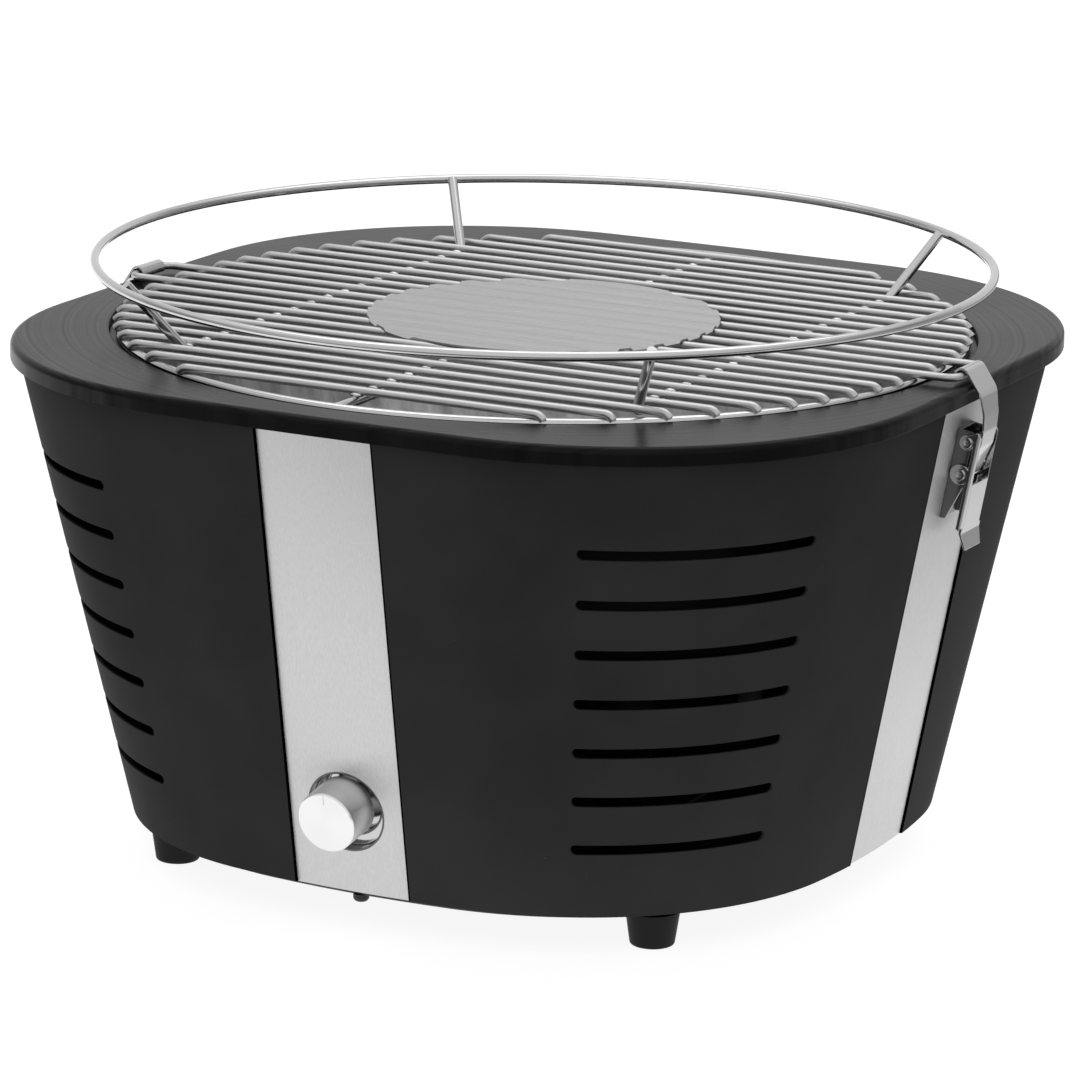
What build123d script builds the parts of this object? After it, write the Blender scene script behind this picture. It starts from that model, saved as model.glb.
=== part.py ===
from build123d import *
from math import atan, cos, sin, sqrt
import os

# Portable tabletop charcoal grill with a fan. Millimetres, +Z up.
# The origin is the centre of the footprint, on the table plane under the feet.
# The knob faces -Y and the two grate latches are at +X and -X.

# ---- driving dimensions ----
RIM_TOP = 207.5  # height of the flat top of the rim
LIP_DROP = 7.0  # how far the rim's outer lip hangs down
RIM_SHEET = 1.2
LIP_HALF = 186.5  # half width across the flats of the lip
LIP_CORNER = 126.0
LIP_BOW = 4000.0  # radius of the nearly straight sides
LIP_ROUND = 2.6
OPENING_ROUND = 0.6
OPENING_RADIUS = 170.5
LEDGE_DROP = 4.0  # the ledge that carries the bowl, below the rim top
LEDGE_RADIUS = 166.2

HOUSING_BOTTOM = 16.0
HOUSING_TOP = RIM_TOP - RIM_SHEET
TOP_HALF = 185.1  # half width, corner radius and side bow at the top
TOP_CORNER = 102.0
TOP_BOW = 495.0
BOTTOM_HALF = 150.6  # the same at the bottom
BOTTOM_CORNER = 113.5
BOTTOM_BOW = 380.0
SHEET = 1.0
FLANGE = 9.0  # width of the panels' folded edges
STRIP_HALF = 24.3  # half width of the bare strip seen between two panels
STRIP_LAP = 5.0  # how far a strip runs behind each panel

SLOT_COUNT = 7
SLOT_PITCH = 20.0
SLOT_HEIGHT = 4.0
SLOT_TOP = 164.4  # height of the uppermost slot
SLOT_REACH = 0.565  # where a slot ends, as a share of the half width there

TRAY_BOTTOM = 13.6
TRAY_HALF = 146.0
TRAY_CORNER = 118.0
FOOT_PLACE = 104.5
FOOT_TOP_RADIUS = 10.5
FOOT_BOTTOM_RADIUS = 8.5

GRATE_RING_RADIUS = 166.0
GRATE_RING_WIRE = 2.0
BAR_WIRE = 1.55
BAR_PITCH = 13.55
BARS_EACH_SIDE = 11
BAR_LEVEL = RIM_TOP + 2.75
BAR_END_RADIUS = 168.0
CROSS_WIRE = 2.0
CROSS_PLACE = 96.5
LOOP_REACH = 182.0
LOOP_CORNER = 5.0
RING_LEVEL = RIM_TOP - 0.85
PLATE_RADIUS = 69.5
GUARD_RADIUS = 176.0
GUARD_WIRE = 1.9
GUARD_LEVEL = RIM_TOP + 26.3

# Speed knob, square to the front strip. Depths are measured outwards from the strip's face.
KNOB_LEVEL = 51.4  # where the knob's axis meets the strip
KNOB_RADIUS = 12.0
KNOB_FACE = 15.2
KNOB_BACK = -1.8
DISH_RADIUS = 16.4
DISH_SHIFT = 2.4  # how far the dish's mouth sits below the knob's axis
DISH_STEP = -5.0
DISH_FLOOR = -9.0

# Latch, drawn in its own plane: u is out from the strip, v is up along it.
LATCH_HEIGHT = RIM_TOP - 21.7
PIVOT_U = 5.0  # lever pivot, held by the base's cheeks
STRAP_PIN_U = 4.8  # strap pin, held by the lever
STRAP_PIN_V = -12.9
PIVOT_RADIUS = 1.5
RIVET_HEAD = 2.2
CHEEK_HALF = 7.4  # outer half width over the base's cheeks
CHEEK_RISE = 6.5
LEVER_HALF = 8.8
LEVER_FACE = 10.4
LATCH_SHEET = 1.0
STRAP_SHEET = 0.8
STRAP_WIDE = 8.2  # half width over the loop
STRAP_MIDDLE = 6.8  # half width at the rim's edge
STRAP_NARROW = 6.0  # half width between the cheeks
HOOK_GAP = 0.8  # room between the closed hook and the loop
RUNNING = 0.05  # radial clearance of every pivot


def taper(height, top, bottom):
    """A value that runs straight from the housing's bottom to its top."""
    share = (height - HOUSING_BOTTOM) / (HOUSING_TOP - HOUSING_BOTTOM)
    return bottom + (top - bottom) * share


def rounded_square(half, corner, bow, height):
    """Closed outline of four slightly bowed sides and four round corners."""
    reach = half - bow
    centre = (reach + sqrt(2 * (bow - corner) ** 2 - reach**2)) / 2
    length = sqrt(centre**2 + (centre + bow - half) ** 2)
    side_x = bow * centre / length
    side_y = (bow - half) - bow * (centre + bow - half) / length
    diagonal = centre + corner / sqrt(2)
    with BuildSketch(Plane.XY.offset(height)) as outline:
        with BuildLine():
            for turn in range(4):
                points = [(-side_x, side_y), (0, -half), (side_x, side_y)]
                points += [(diagonal, -diagonal), (-side_y, -side_x)]
                spun = [Vector(*p).rotate(Axis.Z, 90 * turn) for p in points]
                ThreePointArc(spun[0], spun[1], spun[2])
                ThreePointArc(spun[2], spun[3], spun[4])
        make_face()
    return outline.sketch


def housing_outline(height, inset):
    """The housing's outline at a height, moved in by an inset."""
    half = taper(height, TOP_HALF, BOTTOM_HALF) - inset
    corner = taper(height, TOP_CORNER, BOTTOM_CORNER) - inset
    bow = taper(height, TOP_BOW, BOTTOM_BOW) - inset
    return rounded_square(half, corner, bow, height)


def housing_core(inset, low=HOUSING_BOTTOM, high=HOUSING_TOP):
    """Solid body inside the tapered housing surface."""
    with BuildPart() as core:
        loft(sections=[housing_outline(low, inset), housing_outline(high, inset)], ruled=True)
    return core.part


def wire(points, radius, bend=0.0):
    """A round wire along straight runs, with bends of one radius."""
    with BuildLine() as path:
        run = Polyline(*points)
        if bend:
            fillet(run.vertices()[1:-1], radius=bend)
    with BuildPart() as rod:
        start = path.wires()[0]
        with BuildSketch(Plane(origin=start @ 0, z_dir=start % 0)):
            Circle(radius)
        sweep(path=start)
    return rod.part


def turned(profile_points, plane=Plane.XZ, axis=Axis.Z):
    """A solid of revolution from the corners of its half section."""
    with BuildPart() as body:
        with BuildSketch(plane):
            with BuildLine():
                Polyline(*profile_points, close=True)
            make_face()
        revolve(axis=axis)
    return body.part


# ---- top rim, with four weld studs under it ----
STUD_PLACE = 143.2
STUD_LENGTH = 6.0
STUD_RADIUS = 1.5
with BuildPart() as top_rim:
    add(rounded_square(LIP_HALF, LIP_CORNER, LIP_BOW, RIM_TOP - LIP_DROP))
    extrude(amount=LIP_DROP)
    fillet(top_rim.faces().sort_by(Axis.Z)[-1].edges(), radius=LIP_ROUND)
    add(rounded_square(LIP_HALF - RIM_SHEET, LIP_CORNER - RIM_SHEET, LIP_BOW, RIM_TOP - LIP_DROP))
    extrude(amount=LIP_DROP - RIM_SHEET, mode=Mode.SUBTRACT)
    with BuildSketch(Plane.XY.offset(RIM_TOP - LEDGE_DROP - RIM_SHEET)):
        Circle(OPENING_RADIUS + RIM_SHEET)
    extrude(amount=LEDGE_DROP)
    with BuildSketch(Plane.XY.offset(RIM_TOP - LEDGE_DROP)):
        Circle(OPENING_RADIUS)
    extrude(amount=LEDGE_DROP, mode=Mode.SUBTRACT)
    with BuildSketch(Plane.XY.offset(RIM_TOP - 2 * LIP_DROP)):
        Circle(LEDGE_RADIUS)
    extrude(amount=2 * LIP_DROP, mode=Mode.SUBTRACT)
    opening = top_rim.edges().filter_by(GeomType.CIRCLE)
    opening = opening.filter_by(lambda edge: abs(edge.radius - OPENING_RADIUS) < 0.01)
    fillet(opening.sort_by(Axis.Z)[-1], radius=OPENING_ROUND)
    with BuildSketch(Plane.XY.offset(RIM_TOP - RIM_SHEET)):
        with GridLocations(2 * STUD_PLACE, 2 * STUD_PLACE, 2, 2):
            Circle(STUD_RADIUS)
    extrude(amount=-STUD_LENGTH)

RIM_NUT_HEIGHT = 2.4
RIM_NUT_RADIUS = 3.2
with BuildPart() as rim_nuts:
    with BuildSketch(Plane.XY.offset(HOUSING_TOP - SHEET - RIM_NUT_HEIGHT)):
        with GridLocations(2 * STUD_PLACE, 2 * STUD_PLACE, 2, 2):
            RegularPolygon(radius=RIM_NUT_RADIUS, side_count=6)
            Circle(STUD_RADIUS, mode=Mode.SUBTRACT)
    extrude(amount=RIM_NUT_HEIGHT)

# ---- housing: four slotted corner panels and four bare strips ----
outer_core = housing_core(0)
strip_core = housing_core(SHEET)
inner_core = housing_core(2 * SHEET)
flange_core = housing_core(SHEET + FLANGE)
FAR = 300.0  # longer than anything that it cuts
TRAY_SCREW_NEAR = 45.0
TRAY_SCREW_FAR = 139.5
SCREW_RADIUS = 1.5
FLANGE_START = STRIP_HALF + STRIP_LAP + 1.0

with BuildPart() as slot_cutter:
    for row in range(SLOT_COUNT):
        level = SLOT_TOP - row * SLOT_PITCH
        near = SLOT_REACH * taper(level, TOP_HALF, BOTTOM_HALF)
        length = FAR - near
        middle = near + length / 2
        front_start = (middle, -near - SLOT_HEIGHT, level)
        with BuildSketch(Plane(origin=front_start, x_dir=(1, 0, 0), z_dir=(0, -1, 0))):
            SlotOverall(length, SLOT_HEIGHT)
        extrude(amount=length)
        side_start = (near + SLOT_HEIGHT, -middle, level)
        with BuildSketch(Plane(origin=side_start, x_dir=(0, 1, 0), z_dir=(1, 0, 0))):
            SlotOverall(length, SLOT_HEIGHT)
        extrude(amount=length)

with BuildPart() as corner_flanges:
    add(strip_core)
    add(flange_core, mode=Mode.SUBTRACT)
    with BuildSketch(Plane.XY.offset(HOUSING_BOTTOM + SHEET)):
        Rectangle(2 * FAR, 2 * FAR)
    extrude(amount=HOUSING_TOP - HOUSING_BOTTOM - 2 * SHEET, mode=Mode.SUBTRACT)
    with BuildSketch(Plane.XY):
        with Locations((FLANGE_START, -FLANGE_START)):
            Rectangle(FAR, FAR, align=(Align.MIN, Align.MAX))
    extrude(amount=FAR, mode=Mode.INTERSECT)
    with BuildSketch(Plane.XY):
        with Locations((STUD_PLACE, -STUD_PLACE)):
            Circle(STUD_RADIUS)
        with Locations((TRAY_SCREW_NEAR, -TRAY_SCREW_FAR), (TRAY_SCREW_FAR, -TRAY_SCREW_NEAR)):
            Circle(SCREW_RADIUS)
    extrude(amount=FAR, mode=Mode.SUBTRACT)

with BuildPart() as corner_panel:
    add(outer_core)
    add(strip_core, mode=Mode.SUBTRACT)
    with BuildSketch(Plane.XY):
        with Locations((STRIP_HALF, -STRIP_HALF)):
            Rectangle(FAR, FAR, align=(Align.MIN, Align.MAX))
    extrude(amount=FAR, mode=Mode.INTERSECT)
    add(slot_cutter.part, mode=Mode.SUBTRACT)
    add(corner_flanges.part)

corner_panels = {}
for turn, name in enumerate(("front_right", "back_right", "back_left", "front_left")):
    with BuildPart() as panel:
        add(corner_panel.part.rotate(Axis.Z, 90 * turn))
    panel.part.label = "corner_panel_" + name
    corner_panels[panel.part.label] = panel.part

with BuildPart() as bare_strip:
    add(strip_core)
    add(inner_core, mode=Mode.SUBTRACT)
    with BuildSketch(Plane.XY):
        with Locations((0, -FAR / 2)):
            Rectangle(2 * (STRIP_HALF + STRIP_LAP), FAR)
    extrude(amount=FAR, mode=Mode.INTERSECT)

lean = atan((TOP_HALF - BOTTOM_HALF) / (HOUSING_TOP - HOUSING_BOTTOM))
knob_face = taper(KNOB_LEVEL, TOP_HALF, BOTTOM_HALF) - SHEET
FRONT_OUT = Vector(0, -cos(lean), -sin(lean))
KNOB_PLANE = Plane(origin=(0, -knob_face, KNOB_LEVEL), x_dir=(1, 0, 0), z_dir=FRONT_OUT)
with BuildPart() as front_strip:
    add(bare_strip.part)
    with BuildSketch(KNOB_PLANE):
        with Locations((0, -DISH_SHIFT)):
            Circle(DISH_RADIUS)
    extrude(amount=LIP_DROP, both=True, mode=Mode.SUBTRACT)

with BuildPart() as back_strip:
    add(bare_strip.part.rotate(Axis.Z, 180))

# ---- latch plane on the right strip, and its rivets ----
LATCH_STANDOFF = 0.05
strip_face = taper(LATCH_HEIGHT, TOP_HALF, BOTTOM_HALF) - SHEET
OUT = Vector(cos(lean), 0, -sin(lean))
UP = Vector(sin(lean), 0, cos(lean))
LATCH_FOOT = Vector(strip_face, 0, LATCH_HEIGHT) + OUT * LATCH_STANDOFF
LATCH_SIDE = Plane(origin=LATCH_FOOT, x_dir=OUT, z_dir=(0, -1, 0))
LATCH_FRONT = Plane(origin=LATCH_FOOT, x_dir=(0, 1, 0), z_dir=OUT)
RIVET_PLACES = ((0, -1.0), (0, -24.0))
RIVET_SHANK = 1.6
RIVET_FLANGE = 2.6
RIVET_FLANGE_HEIGHT = 0.7
STRIP_BOW = 0.2  # room behind the flat latch foot for the strip's bow

with BuildPart() as latch_rivets:
    with BuildSketch(LATCH_FRONT.offset(-SHEET - STRIP_BOW)):
        with Locations(*RIVET_PLACES):
            Circle(RIVET_SHANK)
    extrude(amount=SHEET + LATCH_SHEET + STRIP_BOW)
    with BuildSketch(LATCH_FRONT.offset(LATCH_SHEET)):
        with Locations(*RIVET_PLACES):
            Circle(RIVET_FLANGE)
    extrude(amount=RIVET_FLANGE_HEIGHT)
    with BuildSketch(LATCH_FRONT.offset(-SHEET - STRIP_BOW)):
        with Locations(*RIVET_PLACES):
            Circle(RIVET_FLANGE)
    extrude(amount=-RIVET_FLANGE_HEIGHT)

with BuildPart() as side_strip:
    add(bare_strip.part.rotate(Axis.Z, 90))
    with BuildSketch(LATCH_FRONT):
        with Locations(*RIVET_PLACES):
            Circle(RIVET_SHANK)
    extrude(amount=LIP_DROP, both=True, mode=Mode.SUBTRACT)

with BuildPart() as right_strip:
    add(side_strip.part)
with BuildPart() as left_strip:
    add(side_strip.part.rotate(Axis.Z, 180))

# ---- base tray, feet and their fasteners ----
TRAY_CHAMFER = 0.8
TRAY_SCREW_HEAD = 2.9
TRAY_SCREW_HEAD_HEIGHT = 1.2
TRAY_SCREW_LENGTH = 6.0
INTAKE_SLOTS = 18
INTAKE_RADIUS = 27.0
INTAKE_LENGTH = 18.0
INTAKE_WIDTH = 4.0
COVER_HALF = 32.7
COVER_FRONT = 61.3
COVER_BACK = 125.2
COVER_GAP = 0.4
DOORWAY_FRONT = 59.5  # leaves room for the hinge to turn
HINGE_Y = 63.5
HINGE_Z = 16.4
STUB_RADIUS = 1.5
KNUCKLE_RADIUS = 2.2
STUB_REACH = 36.5
LUG_LENGTH = 5.0
LUG_SIZE = 4.2
FOOT_BORE = 2.0
FOOT_ROUND = 1.2
STUD_Y = -143.0
TRAY_SCREWS = [
    (side * a, end * b)
    for a, b in ((TRAY_SCREW_NEAR, TRAY_SCREW_FAR), (TRAY_SCREW_FAR, TRAY_SCREW_NEAR))
    for side in (-1, 1)
    for end in (-1, 1)
]

with BuildPart() as base_tray:
    add(rounded_square(TRAY_HALF, TRAY_CORNER, BOTTOM_BOW, TRAY_BOTTOM))
    extrude(amount=HOUSING_BOTTOM - TRAY_BOTTOM)
    chamfer(base_tray.faces().sort_by(Axis.Z)[0].edges(), length=TRAY_CHAMFER)
    with BuildSketch(Plane.XY.offset(TRAY_BOTTOM)):
        with PolarLocations(INTAKE_RADIUS, INTAKE_SLOTS):
            SlotOverall(INTAKE_LENGTH, INTAKE_WIDTH)
        with Locations((0, DOORWAY_FRONT)):
            doorway = (2 * (COVER_HALF + COVER_GAP), COVER_BACK + COVER_GAP - DOORWAY_FRONT)
            Rectangle(*doorway, align=(Align.CENTER, Align.MIN))
        with GridLocations(2 * FOOT_PLACE, 2 * FOOT_PLACE, 2, 2):
            Circle(FOOT_BORE)
        with Locations(*TRAY_SCREWS):
            Circle(SCREW_RADIUS)
        with Locations((0, STUD_Y)):
            Circle(SCREW_RADIUS)
    extrude(amount=HOUSING_BOTTOM, mode=Mode.SUBTRACT)
    with BuildSketch(Plane.XY.offset(TRAY_BOTTOM)):
        with Locations(*TRAY_SCREWS):
            Circle(TRAY_SCREW_HEAD + RUNNING)
    extrude(amount=TRAY_SCREW_HEAD_HEIGHT, mode=Mode.SUBTRACT)
    with BuildSketch(Plane.YZ.offset(COVER_HALF + COVER_GAP)):
        with Locations((HINGE_Y, HOUSING_BOTTOM)):
            Rectangle(LUG_LENGTH, LUG_SIZE, align=(Align.CENTER, Align.MIN))
    lugs = extrude(amount=LUG_SIZE)
    mirror(lugs, about=Plane.YZ)
    with BuildSketch(Plane.YZ):
        with Locations((HINGE_Y, HINGE_Z)):
            Circle(STUB_RADIUS + RUNNING)
    extrude(amount=STUB_REACH + COVER_GAP, both=True, mode=Mode.SUBTRACT)

FOOT_WELL = 4.4
FOOT_SCREW_LOW = 2.4
FOOT_SCREW_HEAD = 3.8
FOOT_SCREW_HEAD_HEIGHT = 2.6
FOOT_SCREW_LENGTH = 17.2
FOOT_NUT_HEIGHT = 3.0
FOOT_NUT_RADIUS = 4.0
CROSS_RECESS = (4.6, 0.9, 1.2)  # length, width and depth of the driver recess
with BuildPart() as foot:
    add(turned([(0, 0), (FOOT_BOTTOM_RADIUS, 0), (FOOT_TOP_RADIUS, TRAY_BOTTOM), (0, TRAY_BOTTOM)]))
    fillet(foot.edges().sort_by(Axis.Z)[0], radius=FOOT_ROUND)
    with BuildSketch(Plane.XY):
        Circle(FOOT_WELL)
    extrude(amount=FOOT_SCREW_LOW + FOOT_SCREW_HEAD_HEIGHT, mode=Mode.SUBTRACT)
    with BuildSketch(Plane.XY):
        Circle(FOOT_BORE)
    extrude(amount=TRAY_BOTTOM, mode=Mode.SUBTRACT)
with BuildPart() as feet:
    with GridLocations(2 * FOOT_PLACE, 2 * FOOT_PLACE, 2, 2):
        add(foot.part)

with BuildPart() as foot_screw:
    with BuildSketch(Plane.XY.offset(FOOT_SCREW_LOW)):
        Circle(FOOT_SCREW_HEAD)
    extrude(amount=FOOT_SCREW_HEAD_HEIGHT)
    with BuildSketch(Plane.XY.offset(FOOT_SCREW_LOW)):
        Circle(FOOT_BORE)
    extrude(amount=FOOT_SCREW_LENGTH)
    with BuildSketch(Plane.XY.offset(FOOT_SCREW_LOW)):
        Rectangle(CROSS_RECESS[0], CROSS_RECESS[1])
        Rectangle(CROSS_RECESS[1], CROSS_RECESS[0])
    extrude(amount=CROSS_RECESS[2], mode=Mode.SUBTRACT)
with BuildPart() as foot_screws:
    with GridLocations(2 * FOOT_PLACE, 2 * FOOT_PLACE, 2, 2):
        add(foot_screw.part)

with BuildPart() as foot_nuts:
    with BuildSketch(Plane.XY.offset(HOUSING_BOTTOM)):
        with GridLocations(2 * FOOT_PLACE, 2 * FOOT_PLACE, 2, 2):
            RegularPolygon(radius=FOOT_NUT_RADIUS, side_count=6)
            Circle(FOOT_BORE, mode=Mode.SUBTRACT)
    extrude(amount=FOOT_NUT_HEIGHT)

with BuildPart() as tray_screws:
    with BuildSketch(Plane.XY.offset(TRAY_BOTTOM)):
        with Locations(*TRAY_SCREWS):
            Circle(TRAY_SCREW_HEAD)
    extrude(amount=TRAY_SCREW_HEAD_HEIGHT)
    with BuildSketch(Plane.XY.offset(TRAY_BOTTOM)):
        with Locations(*TRAY_SCREWS):
            Circle(SCREW_RADIUS)
    extrude(amount=TRAY_SCREW_LENGTH)

BUMPER_LOW = TRAY_BOTTOM - 3.2
BUMPER_RADIUS = 3.1
BUMPER_ROUND = 1.8
bumper_line = [(0, BUMPER_LOW), (BUMPER_RADIUS, BUMPER_LOW), (BUMPER_RADIUS, TRAY_BOTTOM)]
bumper_line += [(SCREW_RADIUS, TRAY_BOTTOM), (SCREW_RADIUS, HOUSING_BOTTOM), (0, HOUSING_BOTTOM)]
with BuildPart() as front_stud:
    add(turned(bumper_line))
    fillet(front_stud.edges().sort_by(Axis.Z)[0], radius=BUMPER_ROUND)
front_stud_part = front_stud.part.moved(Location((0, STUD_Y, 0)))

# ---- fan: duct, motor, impeller ----
FAN_RADIUS = 46.0
NOZZLE_RADIUS = 24.0
DUCT_SHOULDER = 54.0
DUCT_NECK = 80.0
DUCT_TOP = 93.0
WALL = 1.5
MOTOR_RADIUS = 12.0
MOTOR_TOP = 34.0
MOTOR_ROUND = 1.5
BEARING_RADIUS = 4.0
BEARING_HEIGHT = 1.5
SHAFT_RADIUS = 1.5
SHAFT_LOW = HOUSING_BOTTOM + 4.2
SHAFT_LENGTH = 26.0
SHAFT_END_GAP = 0.2
BLADES = 9
CABLE_SIDE = 4.0
CABLE_LEVEL = 21.0
CABLE_HOLE = 2.6

with BuildPart() as fan_duct:
    outside = [(FAN_RADIUS, HOUSING_BOTTOM), (FAN_RADIUS, DUCT_SHOULDER)]
    outside += [(NOZZLE_RADIUS, DUCT_NECK), (NOZZLE_RADIUS, DUCT_TOP)]
    inside = [(radius - WALL, height) for radius, height in reversed(outside)]
    add(turned(outside + inside))
    with BuildSketch(Plane.XZ.offset(FAN_RADIUS - 2 * WALL)):
        with Locations((-CABLE_SIDE, CABLE_LEVEL)):
            Circle(CABLE_HOLE)
    extrude(amount=3 * WALL, mode=Mode.SUBTRACT)

with BuildPart() as motor:
    with BuildSketch(Plane.XY.offset(HOUSING_BOTTOM)):
        Circle(MOTOR_RADIUS)
    extrude(amount=MOTOR_TOP - HOUSING_BOTTOM)
    fillet(motor.edges().sort_by(Axis.Z)[-1], radius=MOTOR_ROUND)
    with BuildSketch(Plane.XY.offset(MOTOR_TOP)):
        Circle(BEARING_RADIUS)
    extrude(amount=BEARING_HEIGHT)
    with BuildSketch(Plane.XY.offset(SHAFT_LOW - SHAFT_END_GAP)):
        Circle(SHAFT_RADIUS + RUNNING)
    extrude(amount=MOTOR_TOP, mode=Mode.SUBTRACT)

with BuildPart() as motor_shaft:
    with BuildSketch(Plane.XY.offset(SHAFT_LOW)):
        Circle(SHAFT_RADIUS)
    extrude(amount=SHAFT_LENGTH)

HUB_LOW = 37.0
HUB_HIGH = 50.0
HUB_RADIUS = 11.0
HUB_ROUND = 3.0
BLADE_LENGTH = 32.0
BLADE_WIDTH = 16.0
BLADE_SHEET = 1.2
BLADE_PITCH = 38.0  # degrees
BLADE_TIP_RADIUS = 41.0
with BuildPart() as blade:
    Box(BLADE_LENGTH, BLADE_SHEET, BLADE_WIDTH, rotation=(BLADE_PITCH, 0, 0))
with BuildPart() as impeller:
    with BuildSketch(Plane.XY.offset(HUB_LOW)):
        Circle(HUB_RADIUS)
    extrude(amount=HUB_HIGH - HUB_LOW)
    fillet(impeller.edges().sort_by(Axis.Z)[-1], radius=HUB_ROUND)
    with PolarLocations(HUB_RADIUS - WALL + BLADE_LENGTH / 2, BLADES):
        add(blade.part.moved(Location((0, 0, (HUB_LOW + HUB_HIGH) / 2))))
    with BuildSketch(Plane.XY.offset(HUB_LOW - BLADE_WIDTH / 2)):
        Circle(FAN_RADIUS + WALL)
        Circle(BLADE_TIP_RADIUS, mode=Mode.SUBTRACT)
    extrude(amount=2 * BLADE_WIDTH, mode=Mode.SUBTRACT)
    with BuildSketch(Plane.XY.offset(SHAFT_LOW)):
        Circle(SHAFT_RADIUS)
    extrude(amount=SHAFT_LENGTH + SHAFT_END_GAP, mode=Mode.SUBTRACT)

# ---- battery box, cells, contacts and hinged cover ----
BOX_FRONT = 66.1
BOX_BACK = 126.7
BOX_HALF = 29.0
BOX_TOP = 33.3
BOX_WALL = 1.3
BOX_FLANGE = 4.0
CELL_RADIUS = 7.1
CELL_LENGTH = 50.0
CELL_NUB_RADIUS = 2.7
CELL_NUB = 1.5
CELL_PITCH = 14.4
CELL_LEVEL = 24.0
CONTACT_SIZE = 9.0
CONTACT_SHEET = 0.4
SPRING_BASE = 3.2
SPRING_TIP = 2.0
SPRING_LENGTH = 2.2
with BuildPart() as battery_box:
    with BuildSketch(Plane.XY.offset(HOUSING_BOTTOM)):
        with Locations((0, (BOX_FRONT + BOX_BACK) / 2)):
            Rectangle(2 * (COVER_HALF + BOX_FLANGE), BOX_BACK - BOX_FRONT)
    extrude(amount=BOX_WALL)
    with BuildSketch(Plane.XY.offset(HOUSING_BOTTOM)):
        with Locations((0, (BOX_FRONT + BOX_BACK) / 2)):
            Rectangle(2 * BOX_HALF, BOX_BACK - BOX_FRONT)
    extrude(amount=BOX_TOP - HOUSING_BOTTOM)
    with BuildSketch(Plane.XY.offset(HOUSING_BOTTOM)):
        with Locations((0, (BOX_FRONT + BOX_BACK) / 2)):
            Rectangle(2 * (BOX_HALF - BOX_WALL), BOX_BACK - BOX_FRONT - 2 * BOX_WALL)
    extrude(amount=BOX_TOP - HOUSING_BOTTOM - BOX_WALL, mode=Mode.SUBTRACT)

cell_middle = (BOX_FRONT + BOX_BACK) / 2
with BuildPart() as cell:
    with Locations((-CELL_NUB / 2, 0, 0)):
        Cylinder(CELL_RADIUS, CELL_LENGTH - CELL_NUB, rotation=(0, 90, 0))
    with Locations(((CELL_LENGTH - CELL_NUB) / 2, 0, 0)):
        Cylinder(CELL_NUB_RADIUS, CELL_NUB, rotation=(0, 90, 0))
with BuildPart() as batteries:
    for place in range(4):
        spot = cell_middle + (place - 1.5) * CELL_PITCH
        flip = 180 * (place % 2)
        add(cell.part.rotate(Axis.Z, flip).moved(Location((0, spot, CELL_LEVEL))))

with BuildPart() as battery_contacts:
    with BuildSketch(Plane.YZ.offset(BOX_HALF - BOX_WALL - CONTACT_SHEET)):
        with Locations((cell_middle, CELL_LEVEL)):
            with GridLocations(CELL_PITCH, 1, 4, 1):
                Rectangle(CONTACT_SIZE, CONTACT_SIZE)
    extrude(amount=CONTACT_SHEET)
    with Locations((BOX_HALF - BOX_WALL - CONTACT_SHEET, cell_middle, CELL_LEVEL)):
        with GridLocations(1, CELL_PITCH, 1, 4):
            stand = (Align.CENTER, Align.CENTER, Align.MIN)
            Cone(SPRING_BASE, SPRING_TIP, SPRING_LENGTH, rotation=(0, -90, 0), align=stand)
    mirror(battery_contacts.part, about=Plane.YZ)

COVER_SHEET = 2.0
GRIP_PLACE = COVER_BACK - 6.0
GRIP_PITCH = 3.0
GRIP_LENGTH = 24.0
GRIP_WIDTH = 1.2
GRIP_DEPTH = 0.7
with BuildPart() as battery_cover:
    with BuildSketch(Plane.XY.offset(TRAY_BOTTOM)):
        with Locations((0, COVER_FRONT)):
            Rectangle(2 * COVER_HALF, COVER_BACK - COVER_FRONT, align=(Align.CENTER, Align.MIN))
    extrude(amount=COVER_SHEET)
    with BuildSketch(Plane.YZ.offset(-COVER_HALF)):
        with Locations((HINGE_Y, HINGE_Z)):
            Circle(KNUCKLE_RADIUS)
    extrude(amount=2 * COVER_HALF)
    with BuildSketch(Plane.YZ.offset(-STUB_REACH)):
        with Locations((HINGE_Y, HINGE_Z)):
            Circle(STUB_RADIUS)
    extrude(amount=2 * STUB_REACH)
    with BuildSketch(Plane.XY.offset(TRAY_BOTTOM)):
        with Locations((0, GRIP_PLACE)):
            with GridLocations(1, GRIP_PITCH, 1, 3):
                SlotOverall(GRIP_LENGTH, GRIP_WIDTH)
    extrude(amount=GRIP_DEPTH, mode=Mode.SUBTRACT)

# ---- bowl, starter tray and charcoal basket ----
BOWL_FLANGE = RIM_TOP - LEDGE_DROP
BOWL_FLOOR = 89.5
BOWL_SHEET = 1.0
BOWL_HOLE = 24.3
BOWL_GAP = 0.3  # radial room in the rim
BOWL_KNEE = BOWL_FLANGE - 6.0
BOWL_BELLY = (146.0, 122.0)  # radius and height halfway round the wall's curve
BOWL_FLOOR_RADIUS = 108.0


def bowl_line(inset):
    """Half profile of the bowl's wall and floor, moved in by an inset."""
    with BuildLine() as line:
        wall_top = (LEDGE_RADIUS - BOWL_GAP - inset, BOWL_FLANGE + inset)
        wall_knee = (LEDGE_RADIUS - BOWL_GAP - inset, BOWL_KNEE)
        belly = (BOWL_BELLY[0] - inset, BOWL_BELLY[1] + inset)
        floor_edge = (BOWL_FLOOR_RADIUS - inset, BOWL_FLOOR + inset)
        floor_hole = (BOWL_HOLE, BOWL_FLOOR + inset)
        Line(wall_top, wall_knee)
        ThreePointArc(wall_knee, belly, floor_edge)
        Line(floor_edge, floor_hole)
    return line.line


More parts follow.
